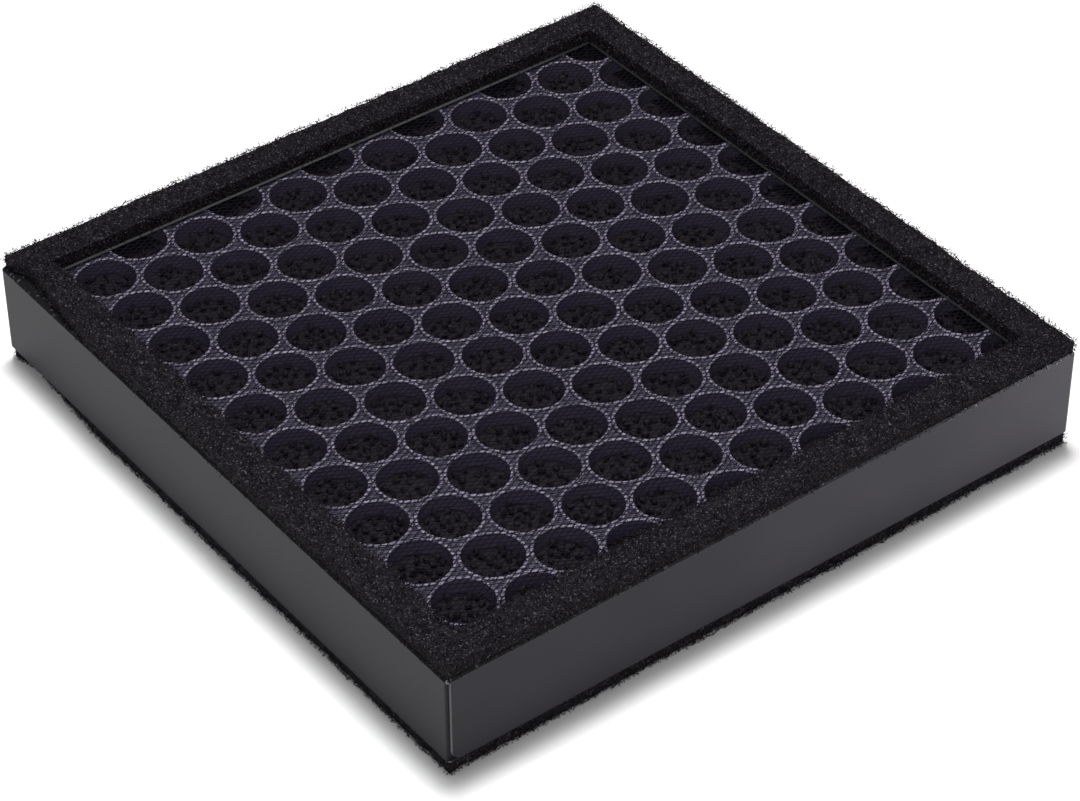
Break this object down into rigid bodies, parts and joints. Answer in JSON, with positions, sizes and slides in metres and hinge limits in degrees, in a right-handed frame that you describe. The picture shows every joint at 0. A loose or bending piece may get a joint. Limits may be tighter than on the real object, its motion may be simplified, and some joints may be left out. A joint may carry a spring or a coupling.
{
  "type": "fume extractor filter",
  "caption": "Square carbon filter panel for a bench fume extractor: folded card frame, foam gaskets, and a netted honeycomb of round cells filled with carbon granules.",
  "frame": {"origin": "centre of the lower gasket's underside, where the panel lies", "axes": "+Z through the panel from the face it lies on to the other face; X and Y along the frame's sides; the card strip's seam is at the -X -Y corner"},
  "size_m": [0.15, 0.15, 0.026],
  "materials": {
    "frame_card": "smooth satin black card",
    "gasket_foam": "open-cell foam, matt black",
    "core_plastic": "dull blue-black plastic",
    "carbon_granules": "loose black granules",
    "net_thread": "fine black netting"
  },
  "bodies": {
    "root": {"frame": "frame_card", "gasket_top": "gasket_foam", "gasket_bottom": "gasket_foam", "honeycomb_core": "core_plastic", "carbon_fill": "carbon_granules", "net_top": "net_thread", "net_bottom": "net_thread"}
  },
  "joints": []
}
